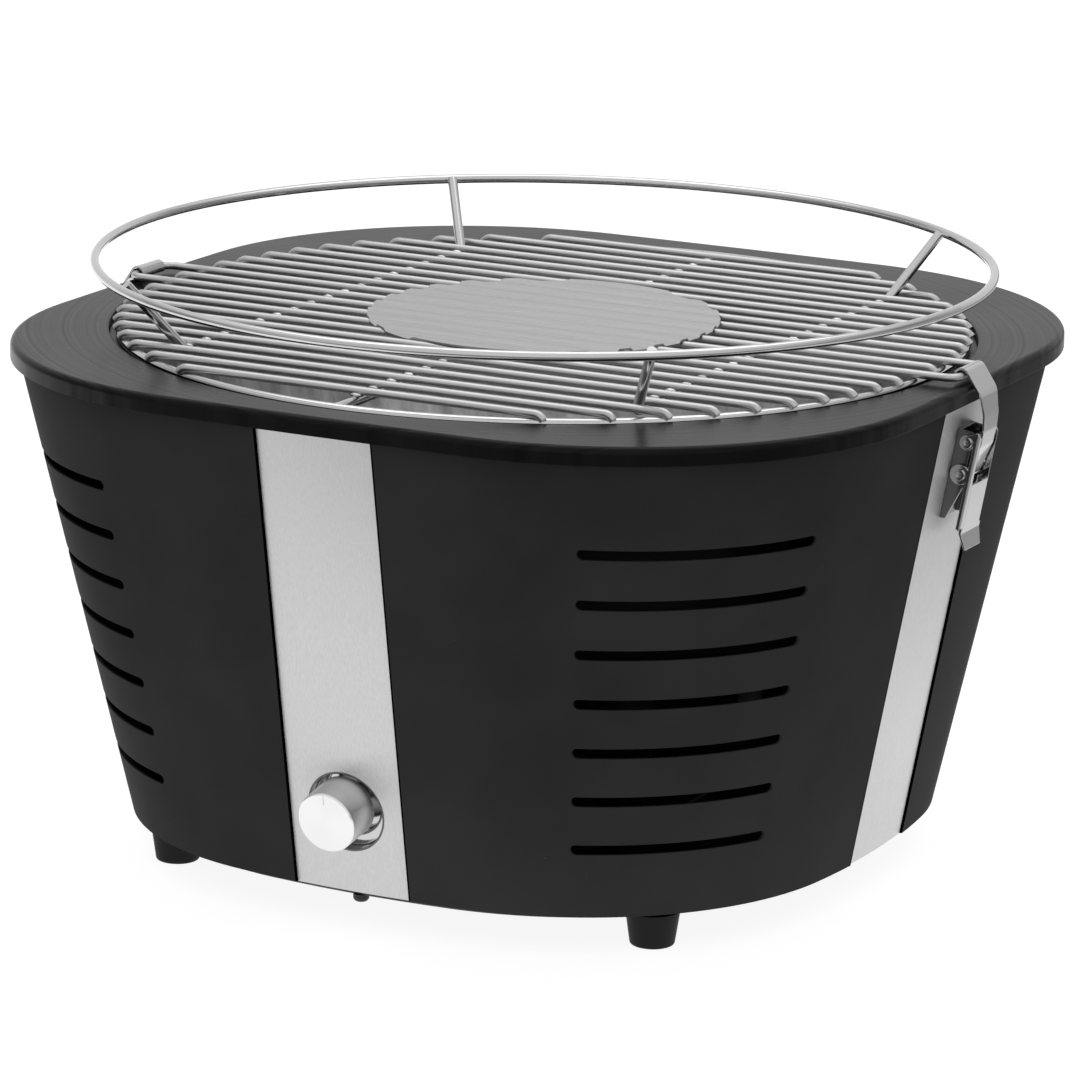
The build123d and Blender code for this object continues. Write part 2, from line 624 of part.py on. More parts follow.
with BuildPart() as inner_bowl:
    with BuildSketch(Plane.XZ):
        with BuildLine():
            add(bowl_line(0))
            add(bowl_line(BOWL_SHEET))
            Line((BOWL_HOLE, BOWL_FLOOR), (BOWL_HOLE, BOWL_FLOOR + BOWL_SHEET))
            lip_low = (OPENING_RADIUS - BOWL_GAP, BOWL_FLANGE)
            lip_high = (OPENING_RADIUS - BOWL_GAP, BOWL_FLANGE + BOWL_SHEET)
            Line((LEDGE_RADIUS - BOWL_GAP, BOWL_FLANGE), lip_low)
            Line(lip_low, lip_high)
            Line(lip_high, (LEDGE_RADIUS - BOWL_GAP - BOWL_SHEET, BOWL_FLANGE + BOWL_SHEET))
        make_face()
    revolve(axis=Axis.Z)

TRAY_WALL = 0.8
STARTER_INNER = 28.0
STARTER_OUTER = 60.0
STARTER_LIP = 66.0
BASKET_RADIUS = 72.0
BASKET_LOW = 103.0
BASKET_HIGH = 150.0
BASKET_ROUND = 4.0
BASKET_LIP = 2.0
BASKET_LIP_SHEET = 1.2
FLOOR_HOLE = 2.5
FLOOR_HOLE_RINGS = ((6, 14), (12, 28), (18, 42), (24, 56))  # count and radius of each ring
WALL_HOLE = 3.0
WALL_HOLE_COUNT = 24
WALL_HOLE_LEVELS = (114, 126, 138)
starter_floor = BOWL_FLOOR + BOWL_SHEET
starter_low = starter_floor + TRAY_WALL
starter_line = [(STARTER_INNER, starter_floor), (STARTER_OUTER, starter_floor)]
starter_line += [(STARTER_OUTER, BASKET_LOW - TRAY_WALL), (STARTER_LIP, BASKET_LOW - TRAY_WALL)]
starter_line += [(STARTER_LIP, BASKET_LOW), (STARTER_OUTER - TRAY_WALL, BASKET_LOW)]
starter_line += [(STARTER_OUTER - TRAY_WALL, starter_low), (STARTER_INNER + TRAY_WALL, starter_low)]
starter_line += [(STARTER_INNER + TRAY_WALL, BASKET_LOW), (STARTER_INNER, BASKET_LOW)]
with BuildPart() as starter_tray:
    add(turned(starter_line))

with BuildPart() as charcoal_basket:
    with BuildSketch(Plane.XY.offset(BASKET_LOW)):
        Circle(BASKET_RADIUS)
    extrude(amount=BASKET_HIGH - BASKET_LOW)
    fillet(charcoal_basket.edges().sort_by(Axis.Z)[0], radius=BASKET_ROUND)
    top = charcoal_basket.faces().sort_by(Axis.Z)[-1]
    offset(amount=-BOWL_SHEET, openings=top)
    with BuildSketch(Plane.XY.offset(BASKET_HIGH - BASKET_LIP_SHEET)):
        Circle(BASKET_RADIUS + BASKET_LIP)
        Circle(BASKET_RADIUS - BOWL_SHEET, mode=Mode.SUBTRACT)
    extrude(amount=BASKET_LIP_SHEET)
    with BuildSketch(Plane.XY.offset(BASKET_LOW)):
        for count, ring in FLOOR_HOLE_RINGS:
            with PolarLocations(ring, count):
                Circle(FLOOR_HOLE)
    extrude(amount=2 * BOWL_SHEET, mode=Mode.SUBTRACT)
    for row, level in enumerate(WALL_HOLE_LEVELS):
        with PolarLocations(0, WALL_HOLE_COUNT, start_angle=row * 180 / WALL_HOLE_COUNT):
            with Locations((BASKET_RADIUS, 0, level)):
                Cylinder(WALL_HOLE, 2 * WALL_HOLE, rotation=(0, 90, 0), mode=Mode.SUBTRACT)

# ---- speed knob, its dish and the control behind it, each drawn upright at the strip's face ----
CONTROL_RADIUS = 8.5
CONTROL_LENGTH = 9.0
BUSHING_RADIUS = 3.8
BUSHING_LENGTH = 4.0
CONTROL_NUT_RADIUS = 6.0
CONTROL_NUT_HEIGHT = 2.0
KNOB_SHAFT_RADIUS = 3.0
KNOB_SHAFT_LOW = DISH_FLOOR - 7.5
KNOB_BORE = 10.5
KNOB_TAPER = 0.3
KNOB_EDGE = 0.5
KNOB_ROUND = 2.0
POINTER = (3.6, 0.5, 0.3)  # length, width and depth of the pointer groove
POINTER_PLACE = KNOB_RADIUS - 2.6
DISH_SHEET = 0.8
DISH_WELL = 13.1
DISH_LAP = 6.0  # what is trimmed off flush with the strip
SHAFT_PLAY = 0.2


def on_front(shape):
    """Moves a shape made about Z so that it stands on the strip where the knob is."""
    return shape.moved(KNOB_PLANE.location)


def dish_body(inset, top):
    """The dish's mouth and its deeper well as one solid, moved in by an inset."""
    with BuildPart() as body:
        with BuildSketch(Plane.XY.offset(DISH_STEP + inset)):
            with Locations((0, -DISH_SHIFT)):
                Circle(DISH_RADIUS - inset)
        extrude(amount=top - DISH_STEP - inset)
        with BuildSketch(Plane.XY.offset(DISH_FLOOR + inset)):
            Circle(DISH_WELL + DISH_SHEET - inset)
        extrude(amount=DISH_STEP - DISH_FLOOR)
    return body.part


with BuildPart() as dish_upright:
    add(dish_body(RUNNING, DISH_LAP))
    add(dish_body(DISH_SHEET, DISH_LAP), mode=Mode.SUBTRACT)
    with BuildSketch(Plane.XY.offset(DISH_FLOOR)):
        Circle(BUSHING_RADIUS + SHAFT_PLAY)
    extrude(amount=2 * DISH_SHEET, mode=Mode.SUBTRACT)
with BuildPart() as knob_dish:
    add(on_front(dish_upright.part))
    add(strip_core, mode=Mode.INTERSECT)

knob_line = [(0, KNOB_BACK), (KNOB_RADIUS + KNOB_TAPER, KNOB_BACK), (KNOB_RADIUS, KNOB_FACE), (0, KNOB_FACE)]
with BuildPart() as knob_upright:
    add(turned(knob_line))
    chamfer(knob_upright.edges().sort_by(Axis.Z)[-1], length=KNOB_EDGE)
    fillet(knob_upright.edges().sort_by(Axis.Z)[0], radius=KNOB_ROUND)
    with BuildSketch(Plane.XY.offset(KNOB_BACK)):
        Circle(KNOB_SHAFT_RADIUS)
    extrude(amount=KNOB_BORE, mode=Mode.SUBTRACT)
    with BuildSketch(Plane.XY.offset(KNOB_FACE)):
        with Locations((0, POINTER_PLACE)):
            SlotOverall(POINTER[0], POINTER[1], rotation=90)
    extrude(amount=-POINTER[2], mode=Mode.SUBTRACT)

with BuildPart() as control_shaft_upright:
    with BuildSketch(Plane.XY.offset(KNOB_SHAFT_LOW)):
        Circle(KNOB_SHAFT_RADIUS)
    extrude(amount=KNOB_BACK + KNOB_BORE - SHAFT_PLAY - KNOB_SHAFT_LOW)

with BuildPart() as speed_control_upright:
    with BuildSketch(Plane.XY.offset(DISH_FLOOR - CONTROL_LENGTH)):
        Circle(CONTROL_RADIUS)
    extrude(amount=CONTROL_LENGTH)
    with BuildSketch(Plane.XY.offset(DISH_FLOOR)):
        Circle(BUSHING_RADIUS)
    extrude(amount=BUSHING_LENGTH)
    with BuildSketch(Plane.XY.offset(KNOB_SHAFT_LOW - SHAFT_PLAY)):
        Circle(KNOB_SHAFT_RADIUS + RUNNING)
    extrude(amount=CONTROL_LENGTH + BUSHING_LENGTH, mode=Mode.SUBTRACT)

with BuildPart() as control_nut_upright:
    with BuildSketch(Plane.XY.offset(DISH_FLOOR + DISH_SHEET)):
        RegularPolygon(radius=CONTROL_NUT_RADIUS, side_count=6)
        Circle(BUSHING_RADIUS, mode=Mode.SUBTRACT)
    extrude(amount=CONTROL_NUT_HEIGHT)

# ---- cables: battery box to control, control to motor ----
CABLE_RADIUS = 1.2


def cable(points, first, last):
    """A round cable through loose points, leaving and arriving along given ways."""
    with BuildLine() as path:
        Spline(*points, tangents=(first, last))
    line = path.edges()[0]
    with BuildPart() as rod:
        with BuildSketch(Plane(origin=line @ 0, z_dir=line % 0)):
            Circle(CABLE_RADIUS)
        sweep(path=line)
    return rod.part


CABLE_END = 5.0  # how far off the control's axis each cable ends
CABLE_STOP = 0.2  # a gap in front of what the cable is wired to
control_back = DISH_FLOOR - CONTROL_LENGTH - CABLE_STOP
right_end = KNOB_PLANE.from_local_coords(Vector(CABLE_END, 0, control_back))
left_end = KNOB_PLANE.from_local_coords(Vector(-CABLE_END, 0, control_back))
supply_way = [(BOX_HALF + CABLE_STOP, 90, CELL_LEVEL), (60, 60, 21.5), (66, -30, 21.5), (36, -100, 33)]
motor_way = [(-7, -108, 34), (-CABLE_SIDE, -66, 21.5)]
motor_way += [(-CABLE_SIDE, -MOTOR_RADIUS - CABLE_STOP, CABLE_LEVEL)]
with BuildPart() as cables:
    add(cable(supply_way + [right_end], (1, 0, 0), FRONT_OUT))
    add(cable([left_end] + motor_way, -FRONT_OUT, (0, 1, 0)))

# ---- grate: ring, bars, cross wires with legs, guard ring and plate ----
BAR_DROP = 2.0  # how far the welded bar ends dip
BAR_BEND = 4.5
with BuildPart() as grate_ring:
    with BuildSketch(Plane.XZ):
        with Locations((GRATE_RING_RADIUS, RING_LEVEL)):
            Circle(GRATE_RING_WIRE)
    revolve(axis=Axis.Z)

with BuildPart() as guard_ring:
    with BuildSketch(Plane.XZ):
        with Locations((GUARD_RADIUS, GUARD_LEVEL)):
            Circle(GUARD_WIRE)
    revolve(axis=Axis.Z)

with BuildSketch(Plane.XY.offset(BAR_LEVEL)) as loop_outline:
    RectangleRounded(2 * LOOP_REACH, 2 * BAR_PITCH, LOOP_CORNER)
loop_path = loop_outline.sketch.faces()[0].outer_wire()

with BuildPart() as grate_bars:
    with BuildSketch(Plane(origin=loop_path @ 0, z_dir=loop_path % 0)):
        Circle(BAR_WIRE)
    sweep(path=loop_path)
    for step in range(-BARS_EACH_SIDE, BARS_EACH_SIDE + 1):
        if abs(step) != 1:
            place = step * BAR_PITCH
            tip = sqrt(BAR_END_RADIUS**2 - place**2)
            low = BAR_LEVEL - BAR_DROP
            ends = [(-tip, place, low), (BAR_DROP - tip, place, BAR_LEVEL)]
            ends += [(tip - BAR_DROP, place, BAR_LEVEL), (tip, place, low)]
            add(wire(ends, BAR_WIRE, bend=BAR_BEND))

CROSS_LEVEL = RING_LEVEL
CROSS_END_GAP = 0.1
LEG_BEND = 5.0
LEG_CORNER = 111.0
LEG_TOP_X = 111.9
LEG_TOP_Y = 130.6
LEG_TOP_LEVEL = GUARD_LEVEL + 0.9
with BuildPart() as cross_wires:
    reach = GRATE_RING_RADIUS - GRATE_RING_WIRE - CROSS_END_GAP
    add(wire([(0, -reach, CROSS_LEVEL), (0, reach, CROSS_LEVEL)], CROSS_WIRE))
    for side in (-1, 1):
        front_top = (side * LEG_TOP_X, -LEG_TOP_Y, LEG_TOP_LEVEL)
        front_foot = (side * CROSS_PLACE, -LEG_CORNER, CROSS_LEVEL)
        back_foot = (side * CROSS_PLACE, LEG_CORNER, CROSS_LEVEL)
        back_top = (side * LEG_TOP_X, LEG_TOP_Y, LEG_TOP_LEVEL)
        add(wire([front_top, front_foot, back_foot, back_top], CROSS_WIRE, bend=LEG_BEND))

RIDGES_EACH_SIDE = 5
RIDGE_TOP_HALF = 1.9
RIDGE_FOOT_HALF = 3.0
RIDGE_UNDER = BAR_LEVEL + BAR_WIRE + 0.02
VALLEY_UNDER = BAR_LEVEL + 0.4
PLATE_SHEET = 0.8
PLATE_HALF = PLATE_RADIUS + 5.0  # before it is cut round
plate_line = [(-PLATE_HALF, RIDGE_UNDER)]
for ridge in range(-RIDGES_EACH_SIDE, RIDGES_EACH_SIDE):
    place = ridge * BAR_PITCH
    plate_line += [(place + RIDGE_TOP_HALF, RIDGE_UNDER), (place + RIDGE_FOOT_HALF, VALLEY_UNDER)]
    plate_line += [(place + BAR_PITCH - RIDGE_FOOT_HALF, VALLEY_UNDER)]
    plate_line += [(place + BAR_PITCH - RIDGE_TOP_HALF, RIDGE_UNDER)]
plate_line += [(PLATE_HALF, RIDGE_UNDER)]
plate_upper = [(place, level + PLATE_SHEET) for place, level in reversed(plate_line)]
with BuildPart() as centre_plate:
    with BuildSketch(Plane.YZ):
        with BuildLine():
            Polyline(*(plate_line + plate_upper), close=True)
        make_face()
    extrude(amount=PLATE_HALF, both=True)
    with BuildSketch(Plane.XY):
        Circle(PLATE_RADIUS)
    extrude(amount=FAR, mode=Mode.INTERSECT)

# ---- latches, right one drawn and the left one turned half round ----
PIVOT = (PIVOT_U, 0)
STRAP_PIN = (STRAP_PIN_U, STRAP_PIN_V)
loop_middle = LATCH_SIDE.to_local_coords(Vector(LOOP_REACH, 0, BAR_LEVEL))
LOOP_U = loop_middle.X
LOOP_V = loop_middle.Y
BEYOND = 60.0  # past every latch outline

# Side outlines of the base: (u, v) corners.
CHEEK_LINE = [(0, 4), (CHEEK_RISE, 4), (CHEEK_RISE, -18), (2.2, -31.7), (0, -32)]
PIN_SLOT_LINE = [(STRAP_PIN_U, -14.65), (9, -14.75), (9, -10.8), (STRAP_PIN_U, -11.15)]
CHEEK_ROUND = 3.0
PIN_PLAY = 0.25
PIN_HEAD = 0.7
PIN_DIMPLE = 0.9
HEAD_GAP = 0.05
EAR_RADIUS = 2.9
LOBE_RADIUS = 3.9
LEVER_ROUND = 1.5
ARM_INNER = 7.8
ARM_TOP = 4.6
ARM_CORNER = 1.6
ARM_BOTTOM = -35.5
ARM_SLANT = 1.5
WINDOW_BOTTOM = -15.8
TIP_U = 12.9
TIP_V = -41.6
TIP_HALF = 7.0
TIP_LAP = 2.0


def side_slab(points, half):
    """A latch side outline extruded to a half width on both flanks."""
    with BuildPart() as slab:
        with BuildSketch(LATCH_SIDE):
            with BuildLine():
                Polyline(*points, close=True)
            make_face()
        extrude(amount=half, both=True)
    return slab.part


def across(place, radius, half):
    """A round bar across the latch at a (u, v) place."""
    with BuildPart() as bar:
        with BuildSketch(LATCH_SIDE):
            with Locations(place):
                Circle(radius)
        extrude(amount=half, both=True)
    return bar.part


def headed_pin(place, half):
    """A pin across the latch whose flat heads start at a half width and are dimpled."""
    with BuildPart() as pin:
        add(across(place, RIVET_HEAD, half + PIN_HEAD))
        add(across(place, RIVET_HEAD + PIN_HEAD, half), mode=Mode.SUBTRACT)
        add(across(place, PIN_DIMPLE, half + PIN_HEAD), mode=Mode.SUBTRACT)
        add(across(place, PIVOT_RADIUS, half))
    return pin.part


with BuildPart() as latch_base:
    inside_cheeks = [(LATCH_SHEET, BEYOND), (BEYOND, BEYOND), (BEYOND, -BEYOND), (LATCH_SHEET, -BEYOND)]
    add(side_slab(CHEEK_LINE, CHEEK_HALF))
    add(across(PIVOT, CHEEK_ROUND, CHEEK_HALF))
    add(side_slab(inside_cheeks, CHEEK_HALF - LATCH_SHEET), mode=Mode.SUBTRACT)
    add(side_slab(PIN_SLOT_LINE, CHEEK_HALF), mode=Mode.SUBTRACT)
    add(across(STRAP_PIN, PIVOT_RADIUS + PIN_PLAY, CHEEK_HALF), mode=Mode.SUBTRACT)
    add(across(PIVOT, PIVOT_RADIUS, CHEEK_HALF), mode=Mode.SUBTRACT)
    with BuildSketch(LATCH_FRONT):
        with Locations(*RIVET_PLACES):
            Circle(RIVET_SHANK)
    extrude(amount=LATCH_SHEET, mode=Mode.SUBTRACT)

lever_back = LEVER_FACE - LATCH_SHEET
arm_line = [(ARM_INNER, ARM_TOP), (LEVER_FACE - ARM_CORNER, ARM_TOP), (LEVER_FACE, ARM_TOP - ARM_CORNER)]
arm_line += [(LEVER_FACE, ARM_BOTTOM), (ARM_INNER, ARM_BOTTOM + ARM_SLANT)]
ear_line = [(PIVOT_U, EAR_RADIUS), (ARM_INNER + LATCH_SHEET, ARM_TOP)]
ear_line += [(ARM_INNER + LATCH_SHEET, EAR_RADIUS / 2), (PIVOT_U, 0)]
behind_face = [(0, BEYOND), (lever_back, BEYOND), (lever_back, -BEYOND), (0, -BEYOND)]
window = [(0, BEYOND), (BEYOND, BEYOND), (BEYOND, WINDOW_BOTTOM), (0, WINDOW_BOTTOM)]
tip_line = [(lever_back, ARM_BOTTOM + TIP_LAP), (LEVER_FACE, ARM_BOTTOM + TIP_LAP), (LEVER_FACE, ARM_BOTTOM)]
tip_line += [(TIP_U, TIP_V), (TIP_U - LATCH_SHEET, TIP_V), (lever_back, ARM_BOTTOM)]
lever_front = [(-LEVER_HALF, BEYOND), (LEVER_HALF, BEYOND), (LEVER_HALF, ARM_BOTTOM)]
lever_front += [(TIP_HALF, TIP_V), (-TIP_HALF, TIP_V), (-LEVER_HALF, ARM_BOTTOM)]
with BuildPart() as latch_lever:
    add(side_slab(arm_line, LEVER_HALF))
    face_edges = latch_lever.faces().sort_by(Axis(LATCH_FOOT, OUT))[-1].edges()
    fillet(face_edges.filter_by(Axis(LATCH_FOOT, UP)), radius=LEVER_ROUND)
    add(side_slab(ear_line, LEVER_HALF))
    add(across(PIVOT, EAR_RADIUS, LEVER_HALF))
    add(across(STRAP_PIN, LOBE_RADIUS, LEVER_HALF))
    add(side_slab(behind_face, LEVER_HALF - LATCH_SHEET), mode=Mode.SUBTRACT)
    add(side_slab(window, LEVER_HALF - LATCH_SHEET), mode=Mode.SUBTRACT)
    add(side_slab(tip_line, LEVER_HALF))
    with BuildSketch(LATCH_FRONT):
        with BuildLine():
            Polyline(*lever_front, close=True)
        make_face()
    extrude(amount=BEYOND, mode=Mode.INTERSECT)
    add(across(PIVOT, PIVOT_RADIUS + RUNNING, LEVER_HALF), mode=Mode.SUBTRACT)
    add(across(STRAP_PIN, PIVOT_RADIUS, LEVER_HALF), mode=Mode.SUBTRACT)

HOOK_RADIUS = BAR_WIRE + HOOK_GAP + STRAP_SHEET / 2
HOOK_START = 215.0  # degrees
HOOK_END = 42.8
KNUCKLE = PIVOT_RADIUS + RUNNING + STRAP_SHEET / 2
KNUCKLE_START = -11.9
KNUCKLE_TURN = -290.0
STRAP_BEND = 7.0
STRAP_LINE = [(6.0, 19.15), (8.82, 11.4), (9.6, 5.2), (9.5, -1.0), (8.32, -5.65)]  # (u, v) bends
STRAP_HALVES = [(STRAP_WIDE, 21), (STRAP_MIDDLE, 13), (STRAP_NARROW, 2)]  # half width and v
right_side = [(STRAP_WIDE, BEYOND), *STRAP_HALVES, (STRAP_NARROW, -BEYOND)]
left_side = [(-half, level) for half, level in reversed(right_side)]
with BuildPart() as latch_strap:
    with BuildSketch(LATCH_SIDE):
        with BuildLine():
            hook = CenterArc((LOOP_U, LOOP_V), HOOK_RADIUS, HOOK_START, HOOK_END - HOOK_START)
            knuckle = CenterArc(STRAP_PIN, KNUCKLE, KNUCKLE_START, KNUCKLE_TURN)
            FilletPolyline(hook @ 1, *STRAP_LINE, knuckle @ 0, radius=STRAP_BEND)
        trace(line_width=STRAP_SHEET)
    extrude(amount=STRAP_WIDE, both=True)
    with BuildSketch(LATCH_FRONT.offset(-BEYOND)):
        with BuildLine():
            Polyline(*right_side, *left_side, close=True)
        make_face()
    extrude(amount=2 * BEYOND, mode=Mode.INTERSECT)

latch_pivot = headed_pin(PIVOT, LEVER_HALF + HEAD_GAP)
latch_strap_pin = headed_pin(STRAP_PIN, LEVER_HALF)

# ---- both sides, then one file per piece ----
latch_pieces = {
    "latch_base": latch_base.part,
    "latch_lever": latch_lever.part,
    "latch_strap": latch_strap.part,
    "latch_pivot": latch_pivot,
    "latch_strap_pin": latch_strap_pin,
}
named = {
    "top_rim": top_rim.part,
    "rim_nuts": rim_nuts.part,
    "front_strip": front_strip.part,
    "back_strip": back_strip.part,
    "right_strip": right_strip.part,
    "left_strip": left_strip.part,
    "base_tray": base_tray.part,
    "feet": feet.part,
    "foot_screws": foot_screws.part,
    "foot_nuts": foot_nuts.part,
    "tray_screws": tray_screws.part,
    "front_stud": front_stud_part,
    "fan_duct": fan_duct.part,
    "fan_motor": motor.part,
    "motor_shaft": motor_shaft.part,
    "fan_impeller": impeller.part,
    "battery_box": battery_box.part,
    "batteries": batteries.part,
    "battery_contacts": battery_contacts.part,
    "battery_cover": battery_cover.part,
    "inner_bowl": inner_bowl.part,
    "starter_tray": starter_tray.part,
    "charcoal_basket": charcoal_basket.part,
    "knob_dish": knob_dish.part,
    "knob": on_front(knob_upright.part),
    "control_shaft": on_front(control_shaft_upright.part),
    "speed_control": on_front(speed_control_upright.part),
    "control_nut": on_front(control_nut_upright.part),
    "cables": cables.part,
    "grate_ring": grate_ring.part,
    "guard_ring": guard_ring.part,
    "grate_bars": grate_bars.part,
    "cross_wires": cross_wires.part,
    "centre_plate": centre_plate.part,
}
named.update(corner_panels)
for name, piece in latch_pieces.items():
    named["right_" + name] = piece
    named["left_" + name] = piece.rotate(Axis.Z, 180)
with BuildPart() as all_rivets:
    add(latch_rivets.part)
    add(latch_rivets.part.rotate(Axis.Z, 180))
named["latch_rivets"] = all_rivets.part

os.makedirs("parts", exist_ok=True)
for name, piece in named.items():
    piece.label = name
    export_step(piece, "parts/" + name + ".step")
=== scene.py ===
"""Looks of the portable tabletop grill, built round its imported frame. Metres, +Z up, knob towards -Y."""

import math

import bpy
from mathutils import Matrix, Vector


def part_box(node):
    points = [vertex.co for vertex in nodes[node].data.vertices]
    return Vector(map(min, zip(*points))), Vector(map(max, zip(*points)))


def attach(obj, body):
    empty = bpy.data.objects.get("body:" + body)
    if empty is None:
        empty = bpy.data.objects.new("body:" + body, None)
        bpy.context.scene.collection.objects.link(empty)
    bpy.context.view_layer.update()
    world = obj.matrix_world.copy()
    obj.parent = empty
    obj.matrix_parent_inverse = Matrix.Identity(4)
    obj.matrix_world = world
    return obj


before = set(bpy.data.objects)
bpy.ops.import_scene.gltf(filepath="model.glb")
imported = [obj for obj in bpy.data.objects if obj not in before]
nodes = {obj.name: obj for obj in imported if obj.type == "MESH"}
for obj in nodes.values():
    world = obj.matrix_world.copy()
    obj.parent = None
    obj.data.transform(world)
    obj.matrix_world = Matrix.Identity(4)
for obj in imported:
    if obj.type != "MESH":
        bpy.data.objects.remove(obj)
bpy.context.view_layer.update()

# ---- camera, as the reference view sees the grill ----
AZIMUTH = 27.3
ELEVATION = 14.24
ROLL = 0.97
DISTANCE = 2.2
LENS = 184.6
SENSOR = 36.0
AIM_HEIGHT = 0.1207
FARTHEST = 100.0


# ---- node helpers ----
class Shader:
    """A material's node tree, with short calls for the nodes used below."""

    def __init__(self, name):
        self.material = bpy.data.materials.new(name)
        self.material.use_nodes = True
        self.tree = self.material.node_tree
        self.tree.nodes.clear()
        self.output = self.tree.nodes.new("ShaderNodeOutputMaterial")
        self.surface = self.tree.nodes.new("ShaderNodeBsdfPrincipled")
        self.link(self.surface.outputs["BSDF"], self.output.inputs["Surface"])
        self.place = self.tree.nodes.new("ShaderNodeTexCoord").outputs["Object"]

    def link(self, source, target):
        self.tree.links.new(source, target)

    def feed(self, socket, value):
        """Sets a socket from a number, a colour or another node's output."""
        if isinstance(value, bpy.types.NodeSocket):
            self.link(value, socket)
        else:
            socket.default_value = value

    def set(self, **values):
        """Feeds the principled surface's inputs, named with underscores for spaces."""
        for name, value in values.items():
            self.feed(self.surface.inputs[name.replace("_", " ")], value)

    def stretched(self, scale, place=None):
        """The object's own coordinates, multiplied along each axis."""
        node = self.tree.nodes.new("ShaderNodeVectorMath")
        node.operation = "MULTIPLY"
        self.feed(node.inputs[0], place or self.place)
        node.inputs[1].default_value = scale
        return node.outputs["Vector"]

    def noise(self, scale, detail=3.0, rough=0.5, place=None):
        """A noise value; scale is one number, or one number for each axis, per metre."""
        node = self.tree.nodes.new("ShaderNodeTexNoise")
        node.inputs["Scale"].default_value = 1.0
        node.inputs["Detail"].default_value = detail
        node.inputs["Roughness"].default_value = rough
        if isinstance(scale, (int, float)):
            scale = (scale, scale, scale)
        self.feed(node.inputs["Vector"], self.stretched(scale, place))
        return node.outputs["Fac"]

    def ramp(self, value, stops):
        """Maps a value through colour stops: (position, grey or colour)."""
        node = self.tree.nodes.new("ShaderNodeValToRGB")
        self.feed(node.inputs["Fac"], value)
        elements = node.color_ramp.elements
        while len(elements) < len(stops):
            elements.new(0.5)
        for element, (position, colour) in zip(elements, stops):
            element.position = position
            element.color = grey(colour) if isinstance(colour, (int, float)) else (*colour, 1.0)
        return node.outputs["Color"]

    def between(self, value, low, high):
        """Maps 0..1 to low..high."""
        node = self.tree.nodes.new("ShaderNodeMapRange")
        self.feed(node.inputs["Value"], value)
        node.inputs["To Min"].default_value = low
        node.inputs["To Max"].default_value = high
        return node.outputs["Result"]

    def dot(self, first, second):
        """How far one vector reaches along another."""
        node = self.tree.nodes.new("ShaderNodeVectorMath")
        node.operation = "DOT_PRODUCT"
        self.feed(node.inputs[0], first)
        self.feed(node.inputs[1], second)
        return node.outputs["Value"]

    def span(self, value, start, end, low=0.0, high=1.0):
        """Maps start..end to low..high, and holds the ends."""
        node = self.tree.nodes.new("ShaderNodeMapRange")
        self.feed(node.inputs["Value"], value)
        node.inputs["From Min"].default_value = start
        node.inputs["From Max"].default_value = end
        node.inputs["To Min"].default_value = low
        node.inputs["To Max"].default_value = high
        return node.outputs["Result"]

    def math(self, operation, first, second=0.0):
        node = self.tree.nodes.new("ShaderNodeMath")
        node.operation = operation
        self.feed(node.inputs[0], first)
        self.feed(node.inputs[1], second)
        return node.outputs["Value"]

    def mix(self, factor, first, second):
        """Mixes two colours."""
        node = self.tree.nodes.new("ShaderNodeMix")
        node.data_type = "RGBA"
        self.feed(node.inputs["Factor"], factor)
        self.feed(node.inputs[6], first)
        self.feed(node.inputs[7], second)
        return node.outputs[2]

    def bump(self, height, depth, below=None):
        """A bump of a real depth in metres, on top of another bump's normal."""
        node = self.tree.nodes.new("ShaderNodeBump")
        node.inputs["Distance"].default_value = depth
        self.feed(node.inputs["Height"], height)
        if below is not None:
            self.link(below, node.inputs["Normal"])
        return node.outputs["Normal"]

    def straight(self, way):
        """A fixed direction, as the way across a straight grain."""
        node = self.tree.nodes.new("ShaderNodeVectorMath")
        node.operation = "NORMALIZE"
        node.inputs[0].default_value = way
        return node.outputs["Vector"]

    def around(self, axis):
        """The direction round an axis of the object."""
        node = self.tree.nodes.new("ShaderNodeTangent")
        node.direction_type = "RADIAL"
        node.axis = axis
        return node.outputs["Tangent"]

    def soft_edge(self, radius):
        """The normal with sharp edges rounded over a small radius."""
        node = self.tree.nodes.new("ShaderNodeBevel")
        node.samples = 4
        node.inputs["Radius"].default_value = radius
        return node.outputs["Normal"]


def grey(value):
    return (value, value, value, 1.0)


# ---- materials ----
def powder_coat(name, base, rough, shine, peel, seam=0.0, lines=0.0):
    """Satin black coat: orange peel, faint clouds, pale specks, turning lines, and a painted shadow, near
    black and without gloss, in the fold beside a strip.
    """
    coat = Shader(name)
    side, front = (coat.math("ABSOLUTE", coat.dot(coat.place, way)) for way in ((1, 0, 0), (0, 1, 0)))
    # clear is 0 near a strip's middle line, where the coat gets a painted shadow, near black and without
    # gloss
    clear = coat.math("GREATER_THAN", coat.math("MINIMUM", side, front), seam)
    reach = coat.math("SQRT", coat.math("ADD", coat.math("POWER", side, 2), coat.math("POWER", front, 2)))
    rings = coat.noise(1.0, detail=4, place=ring_place(coat, reach, RIM_RINGS))
    cloud = coat.noise(18, detail=4)
    speck = coat.ramp(coat.noise(900, detail=1), [(0.80, 0.0), (0.84, 1.0)])
    tone = coat.ramp(cloud, [(0.3, base * 0.85), (0.7, base * 1.2)])
    gloss = coat.span(rings, 0.35, 0.65, shine - lines, shine + lines)
    coat.set(
        Base_Color=coat.mix(clear, grey(SEAM_PAINTED_SHADOW), coat.mix(speck, tone, grey(base * 2.5))),
        Roughness=coat.between(cloud, rough - 0.04, rough + 0.05),
        Specular_IOR_Level=coat.math("MULTIPLY", clear, gloss),
        Normal=coat.bump(coat.noise(peel, detail=2), 0.000012, coat.soft_edge(0.0004)),
    )
    return coat.material


